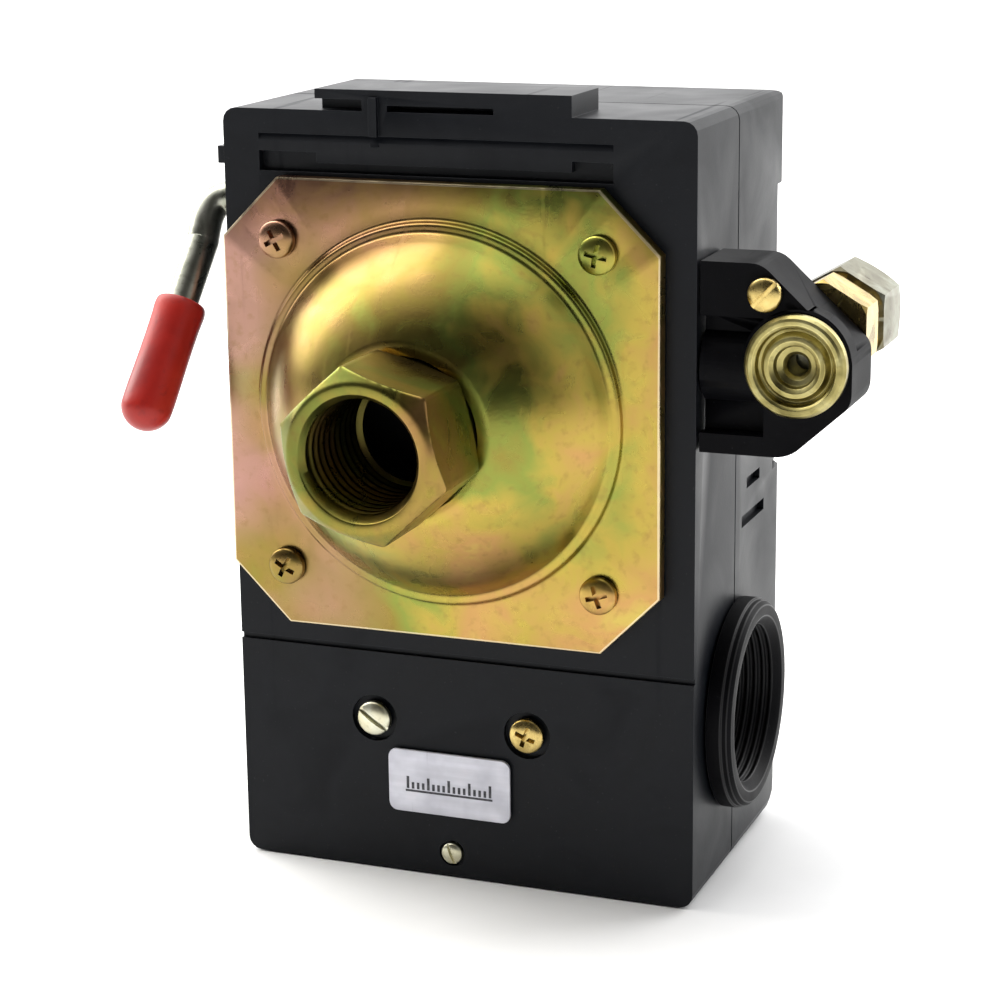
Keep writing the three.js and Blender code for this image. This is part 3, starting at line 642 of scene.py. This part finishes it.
def screw(node, radius, kind, turn, facing=-1, materials=None):
    """A pan-head screw on the CAD node's place: domed head, recess and plain shank."""
    (_, y0, _), (_, y1, _) = box_of(node)
    x, _, z = middle_of(node)
    front, tip = (y0, y1) if facing < 0 else (y1, y0)
    inward = -facing
    rise = radius * 0.32
    head = []
    for i in range(9):
        angle = math.pi / 2 * i / 8
        head.append((radius * math.sin(angle), front + inward * rise * (1 - math.cos(angle))))
    back = front + inward * max(rise + 0.5, 1.1)
    shank = radius * 0.6
    head += [(radius, back), (shank, back), (shank, tip - inward * 0.3), (shank - 0.3, tip)]
    head.append((0, tip))
    body = lathe(head, x, z, sides=64)
    tool = recess(kind, radius, front if facing < 0 else -front, x, z, turn)
    if facing > 0:
        tool.data.transform(Matrix.Diagonal((1, -1, 1, 1)))
        tool.data.flip_normals()
    place(cut(body, tool), node, 0.06, materials)


def all_screws():
    for i, turn in enumerate((0.5, 1.1, -0.3, 0.2), start=1):
        screw(f"flange_screw_{i}", 2.2, "cross", turn)
    screw("block_screw_1", 2.1, "slot", 0.6, materials=PALE_ZINC)
    screw("block_screw_2", 2.1, "cross", 0.35)
    screw("ground_screw", 1.3, "slot", 1.2, materials=PALE_ZINC)
    screw("unloader_screw", 1.9, "slot", -0.8)
    for i, turn in enumerate((0.3, -0.5), start=1):
        screw(f"cover_screw_{i}", 3.4, "cross", turn, facing=1)


# ---- pressure side ----
def plate_rim(angle):
    """Distance from the port's axis to the edge of the square plate with cut corners."""
    c, d = abs(math.cos(angle)), abs(math.sin(angle))
    return min(PLATE_HALF / max(c, d), (2 * PLATE_HALF - PLATE_CORNER) / (c + d))


def dome_side(inset, steps=40):
    """The dome's side, an arc from its steep edge up to the flat land round the hex."""
    steep, flat = DOME_SLOPES
    centre = DOME["radius"] - DOME_CURVE * math.sin(steep)
    foot = PLATE_FRONT - DOME["proud"]
    back = foot + DOME_CURVE * math.cos(steep)
    size = DOME_CURVE - inset
    start = math.acos((back - foot) / size)
    slopes = [start + (flat - start) * i / steps for i in range(steps + 1)]
    return [(centre + size * math.sin(a), back - size * math.cos(a)) for a in slopes]


def flange_cap():
    """One pressing: a plate with cut corners, a raised ring and a dome, open behind."""
    ring, proud, hole, wall = (DOME[k] for k in ("ring", "proud", "hole", "wall"))
    crest = PLATE_FRONT - proud
    outer = [
        (ring + 1.6, PLATE_FRONT), (ring + 0.15, PLATE_FRONT), (ring - 0.15, crest),
        dome_side(0)[0], dome_side(0)[4],
    ]
    profile = [(plate_rim, PLATE_BACK), (plate_rim, PLATE_FRONT + 0.22),
               (lambda angle: plate_rim(angle) - 0.1, PLATE_FRONT + 0.06),
               (lambda angle: plate_rim(angle) - 0.3, PLATE_FRONT)] + fillet(outer, 0.35)
    crown = dome_side(0)[5:]
    land = [crown[-1], (crown[-1][0] - 0.9, DOME_TOP), (hole, DOME_TOP)]
    profile += crown[:-1] + fillet(land, 0.9, 6)
    profile.append((hole, DOME_TOP + wall))
    profile += dome_side(wall)[::-5]
    profile.append((dome_side(wall)[0][0], PLATE_BACK))
    c = PLATE_HALF - PLATE_CORNER
    corner = math.atan2(PLATE_HALF, c)
    angles = {2 * math.pi * i / 192 for i in range(192)}
    for quarter in range(4):
        angles |= {quarter * math.pi / 2 + corner, quarter * math.pi / 2 + math.pi / 2 - corner}
    cap = lathe(profile, PORT_X, PORT_Z, angles=sorted(angles))
    for x in (-1, 1):
        for z in (-1, 1):
            screw_x, screw_z = x * FLANGE_SCREW_OFFSET, PORT_Z + z * FLANGE_SCREW_OFFSET
            hole_tool = rod(FLANGE_SCREW_HOLE, PLATE_FRONT - 1, PLATE_BACK + 1,
                            screw_x, screw_z, sides=32)
            cap = cut(cap, hole_tool)
    place(cap, "flange_cap", 0, smooth=32)
    for face in cap.data.polygons:
        x, y, z = (c / MM for c in face.center)
        away = plate_rim(math.atan2(z - PORT_Z, x - PORT_X)) - math.hypot(x - PORT_X, z - PORT_Z)
        if away < 0.32 and PLATE_FRONT - 0.1 < y < PLATE_FRONT + 0.25:
            face.material_index = 1


def thread_radius(along):
    """The radius of a worn thread at one place along the bore, as a function of the angle."""
    def radius(angle):
        turns = along / PORT_PITCH - angle / (2 * math.pi)
        return PORT_BORE + 0.18 + 0.17 * math.cos(2 * math.pi * turns)
    return radius


def hex_radius(limit):
    """A hexagon's outline held inside a circle, as a function of the angle."""
    def radius(angle):
        from_flat = (angle - HEX_TURN) % (math.pi / 3) - math.pi / 6
        return min(HEX_ACROSS / 2 / math.cos(from_flat), limit)
    return radius


def port_fitting():
    back = DOME_TOP - 0.3
    corner = HEX_ACROSS / math.sqrt(3) - 0.1
    end = DOME_TOP + 2.4
    profile = [(7.2, PORT_MOUTH), (7.9, PORT_MOUTH), (8.2, PORT_MOUTH + 0.04)]
    for i in range(1, 13):
        profile.append((hex_radius(8.3 + (corner - 8.3) * i / 12), PORT_MOUTH + 0.06 + 1.3 * i / 12))
    for i in range(5):
        profile.append((hex_radius(corner), PORT_MOUTH + 1.7 + (back - 1 - PORT_MOUTH - 1.7) * i / 4))
    for i in range(1, 9):
        profile.append((hex_radius(corner - 1.4 * i / 8), back - 0.9 + 0.9 * i / 8))
    profile += [(8.7, back), (8.7, DOME_TOP + 1.9), (FITTING_FLANGE, DOME_TOP + 1.9),
                (FITTING_FLANGE, DOME_TOP + 3.2),
                (PORT_BORE - 0.4, DOME_TOP + 3.2), (PORT_BORE - 0.4, end + 0.3)]
    step = PORT_PITCH / 12
    count = int((end - PORT_MOUTH - 1.3) / step)
    profile += [(thread_radius(end - i * step), end - i * step) for i in range(count)]
    profile += [(6.5, PORT_MOUTH + 0.9), (7.0, PORT_MOUTH + 0.16), (7.08, PORT_MOUTH + 0.05)]
    angles = {2 * math.pi * i / 180 for i in range(180)}
    for k in range(6):
        for beside in (-0.012, 0, 0.012):
            angles.add((HEX_TURN + k * math.pi / 3 + beside) % (2 * math.pi))
    body = lathe(profile, PORT_X, PORT_Z, angles=sorted(angles))
    place(body, "port_fitting", 0, FITTING_ZINC, smooth=32)
    body.data.materials.append(BORE_SHADE_ZINC)
    # Faces deep in the bore get the painted-shade material.
    for face in body.data.polygons:
        x, y, z = (c / MM for c in face.center)
        if y > PORT_MOUTH + 2 and math.hypot(x - PORT_X, z - PORT_Z) < 7.1:
            face.material_index = 2


# ---- unloader valve ----
def unloader_body():
    body = from_cad("unloader_body")
    barrel_y = EAR_FRONT + 4.6
    barrel = lathe([(0, EAR_LEFT), (4.5, EAR_LEFT), (4.5, 37.2), (4.1, 37.6), (0, 37.6)],
                   barrel_y, BARREL_Z, "X", 64)
    boss = lathe([(0, EAR_FRONT + 3), (6.1, EAR_FRONT + 3), (6.1, EAR_FRONT + 0.3), (5.8, EAR_FRONT),
                  (0, EAR_FRONT)], PLUG_X - 0.25, PLUG_Z, sides=64)
    body = join(body, barrel, boss)
    body = cut(body, rod(3.3, EAR_FRONT - 1, -14.5, PLUG_X, PLUG_Z))
    body = cut(body, box(EAR_LEFT - 1, 43.9, -15, -11, 61, 68.2))
    place(body, "unloader_body", 0.25, DARK_PLASTIC)


def exhaust_plug():
    seat = EAR_FRONT - 0.3
    tip = box_of("exhaust_plug")[1][1]
    profile = [
        (1.2, tip), (2.9, tip), (2.9, seat), (5.6, seat), (5.7, seat - 0.3), (5.7, PLUG_FRONT + 0.6),
        (5.4, PLUG_FRONT + 0.15), (5.1, PLUG_FRONT), (4.7, PLUG_FRONT), (4.4, PLUG_FRONT + 0.25),
        (4.2, PLUG_FRONT + 1.0), (3.9, PLUG_FRONT + 1.1), (3.7, PLUG_FRONT + 0.7), (3.4, PLUG_FRONT + 0.3),
        (2.9, PLUG_FRONT + 0.2), (2.4, PLUG_FRONT + 0.5), (2.2, PLUG_FRONT + 1.2), (1.6, PLUG_FRONT + 1.4),
        (1.2, PLUG_FRONT + 1.9),
    ]
    place(lathe(profile, PLUG_X, PLUG_Z, sides=96), "exhaust_plug", 0.05, SEAL_BRASS)


def unloader_fitting():
    (_, tip, _), (_, end, _) = box_of("unloader_fitting")
    start = EAR_BACK + 0.3
    hexagon = lathe([(0, start), (5.9, start), (5.9, start + 5.6), (0, start + 5.6)],
                    VALVE_X, VALVE_Z, sides=6, turn=math.pi / 2)
    chamfer = lathe([(0, start), (5.5, start), (6, start + 0.5), (6, start + 5), (5.4, start + 5.6),
                     (0, start + 5.6)], VALVE_X, VALVE_Z, sides=96)
    stem = lathe([
        (0, tip), (2.2, tip), (2.4, tip + 0.3), (2.4, start + 0.5), (3.9, start + 5.4),
        (3.9, end - 0.5), (3.5, end), (0, end),
    ], VALVE_X, VALVE_Z, sides=64)
    body = join(overlap(hexagon, chamfer), stem)
    body = cut(body, rod(1.6, -12, 6, VALVE_X, VALVE_Z), rod(2.5, -5.2, 6, VALVE_X, VALVE_Z))
    place(body, "unloader_fitting", 0.12)


def compression_nut():
    corner = 6.1
    hexagon = lathe([(0, NUT_START), (corner, NUT_START), (corner, NUT_END), (0, NUT_END)],
                    VALVE_X, VALVE_Z, sides=6, turn=math.pi / 2)
    chamfer = lathe([(0, NUT_START), (corner - 0.5, NUT_START), (corner + 0.1, NUT_START + 0.5),
                     (corner + 0.1, NUT_END - 1.2), (corner - 0.9, NUT_END), (0, NUT_END)],
                    VALVE_X, VALVE_Z, sides=96)
    nut = overlap(hexagon, chamfer)
    bore = lathe([(0, NUT_START - 1), (4.2, NUT_START - 1), (4.2, NUT_END - 2), (3.25, NUT_END - 1.6),
                  (3.25, NUT_END - 0.4), (3.7, NUT_END), (3.7, NUT_END + 1), (0, NUT_END + 1)],
                 VALVE_X, VALVE_Z, sides=64)
    place(cut(nut, bore), "compression_nut", 0.15, NUT_ZINC)


# ---- lever ----
def bezier(points, count):
    a, b, c, d = (Vector(p) for p in points)
    curve = []
    for i in range(count + 1):
        t = i / count
        s = 1 - t
        curve.append(a * s**3 + b * (3 * s * s * t) + c * (3 * s * t * t) + d * t**3)
    return curve


def off_lever():
    y, z = LEVER_PIVOT
    inner = box_of("off_lever")[1][0]
    straight = [Vector((x, y, z)) for x in (inner, inner - 4, -12, -18, -24, -28)]
    bend = bezier([(-28.6, y, z), (-31.4, y, z), (-31.9, y - 1.2, z - 1.2), ARM_START], 24)
    arm = [ARM_START.lerp(ARM_END, i / 8) for i in range(1, 9)]
    bar = sweep(straight + bend + arm, LEVER_ROD)
    cam = lathe([
        (0, inner - 4), (2.4, inner - 4), (2.6, inner - 3.8), (2.6, inner - 0.2), (2.4, inner),
        (0, inner),
    ], y + 0.74, z - 0.88, "X", 64)
    place(join(bar, cam), "off_lever", 0.12)


def lever_grip():
    """A dipped vinyl sleeve: a soft rolled mouth, a slight waist and a round closed end."""
    direction = (ARM_END - ARM_START).normalized()
    radius, length = GRIP["radius"], GRIP["length"]
    profile = [(2.2, 0.35), (2.35, 0.08), (2.7, 0), (radius - 0.12, 0.25), (radius, 0.8), (radius, 1.5),
               (radius - 0.1, 2.2), (radius - 0.12, length * 0.45), (radius, length * 0.7)]
    round_start = length - 3
    for i in range(1, 13):
        angle = math.pi / 2 * i / 12
        profile.append((radius * math.cos(angle), round_start + 3 * math.sin(angle)))
    profile[-1] = (0, length)
    profile += [(0, length - 2), (2.2, length - 2)]
    sleeve = lathe_open(profile)
    turn = Vector((0, 1, 0)).rotation_difference(direction).to_matrix().to_4x4()
    start = ARM_END + direction * (2.3 - length)
    sleeve.data.transform(Matrix.Translation(start) @ turn)
    smooth = sleeve.modifiers.new("smooth", "SUBSURF")
    smooth.levels = 1
    apply_modifiers(sleeve)
    sleeve.data.shade_smooth()
    place(sleeve, "lever_grip", 0)


def lathe_open(profile, sides=48):
    """A sleeve closed at its far end: its outer and inner walls meet at the mouth."""
    bm = bmesh.new()
    rings = []
    for radius, along in profile:
        count = sides if radius > 1e-6 else 1
        rings.append([
            bm.verts.new((radius * math.cos(2 * math.pi * i / sides), along,
                          radius * math.sin(2 * math.pi * i / sides)))
            for i in range(count)
        ])
    for one, two in list(zip(rings, rings[1:])) + [(rings[-1], rings[0])]:
        if len(one) == 1 and len(two) == 1:
            continue
        for i in range(sides):
            k = (i + 1) % sides
            corners = [one[i % len(one)], one[k % len(one)], two[k % len(two)], two[i % len(two)]]
            bm.faces.new(list(dict.fromkeys(corners)))
    return new_object("sleeve", bm)


# ---- nodes that keep their CAD shape ----
def dress_cad_nodes():
    for node, obj in frame["nodes"].items():
        if obj.hide_render:
            continue
        dress(obj, FINISHES[SLOT_OF[node]])
        bevel = obj.modifiers.new("ease", "BEVEL")
        bevel.width = 0.12 * MM
        bevel.segments = 2
        bevel.limit_method = "ANGLE"
        bevel.angle_limit = math.radians(40)
        # Bevel faces take the second material; on plastics that is a paler copy, partly a painted sheen.
        bevel.material = 1


# ---- stage, lights and camera ----
def floor():
    bm = bmesh.new()
    bmesh.ops.create_grid(bm, x_segments=1, y_segments=1, size=12)
    obj = new_object("floor", bm)
    f = Finish("floor_paper", Specular_IOR_Level=0.2)
    grain = f.noise(60, detail=4)
    colour = f.ramp(grain, [(0.3, (0.86, 0.86, 0.86)), (0.7, (0.90, 0.90, 0.90))])
    obj.data.materials.append(f.finish(colour, 0.8, f.bump(grain, 0.0001, 0.1)))
    obj.location.z = -0.0002


def panel_light(name, direction, distance, width, height, power, colour=(1, 1, 1)):
    """A soft box that faces the middle of the switch."""
    light = bpy.data.lights.new(name, "AREA")
    light.shape = "RECTANGLE"
    light.size, light.size_y = width, height
    light.energy = power
    light.color = colour
    obj = bpy.data.objects.new(name, light)
    away = Vector(direction).normalized()
    obj.location = Vector((0, 0, 0.05)) + away * distance
    obj.rotation_euler = away.to_track_quat("Z", "Y").to_euler()
    bpy.context.scene.collection.objects.link(obj)


def world():
    """A pale surround behind and overhead, dark on the viewer's side."""
    sky = bpy.data.worlds.new("surround")
    bpy.context.scene.world = sky
    sky.use_nodes = True
    nodes, links = sky.node_tree.nodes, sky.node_tree.links
    direction = nodes.new("ShaderNodeTexCoord").outputs["Generated"]

    def glow(towards, low, high, dark, bright):
        dot = nodes.new("ShaderNodeVectorMath")
        dot.operation = "DOT_PRODUCT"
        dot.inputs[1].default_value = towards
        links.new(direction, dot.inputs[0])
        fade = nodes.new("ShaderNodeMapRange")
        fade.interpolation_type = "SMOOTHSTEP"
        for i, number in enumerate((low, high, dark, bright), start=1):
            fade.inputs[i].default_value = number
        links.new(dot.outputs["Value"], fade.inputs[0])
        return fade.outputs["Result"]

    total = nodes.new("ShaderNodeMath")
    total.operation = "ADD"
    links.new(glow((0.5, 0.8, 0.25), 0, 0.5, 0.04, 0.9), total.inputs[0])
    links.new(glow((-0.45, 0.35, 0.82), 0.4, 0.85, 0, 2.0), total.inputs[1])
    links.new(total.outputs["Value"], nodes["Background"].inputs["Strength"])
    nodes["Background"].inputs["Color"].default_value = (1, 1, 1, 1)


def lights():
    world()
    panel_light("key", (-0.72, 0.08, 0.6), 0.75, 0.5, 1.0, 8, (1, 0.99, 0.95))
    panel_light("back", (0.6, 0.75, 0.45), 0.9, 0.6, 0.6, 5)


def camera():
    data = bpy.data.cameras.new("camera")
    data.sensor_width = 36
    data.lens = 96.02
    data.clip_start, data.clip_end = 0.01, 100
    obj = bpy.data.objects.new("camera", data)
    right = Vector((0.93308, 0.35948, -0.01142))
    forward = Vector((-0.35072, 0.90237, -0.25043)).normalized()
    right = (right - forward * right.dot(forward)).normalized()
    up = right.cross(forward)
    turn = Matrix((right, up, -forward)).transposed().to_4x4()
    obj.matrix_world = Matrix.Translation((0.11322, -0.29352, 0.12358)) @ turn
    bpy.context.scene.collection.objects.link(obj)
    bpy.context.scene.camera = obj


def build():
    housing_base()
    cover()
    conduit_collar()
    label_plate()
    flange_cap()
    port_fitting()
    all_screws()
    unloader_body()
    exhaust_plug()
    unloader_fitting()
    compression_nut()
    off_lever()
    lever_grip()
    dress_cad_nodes()
    floor()
    lights()
    camera()
    bpy.context.scene.view_settings.view_transform = "Standard"


build()
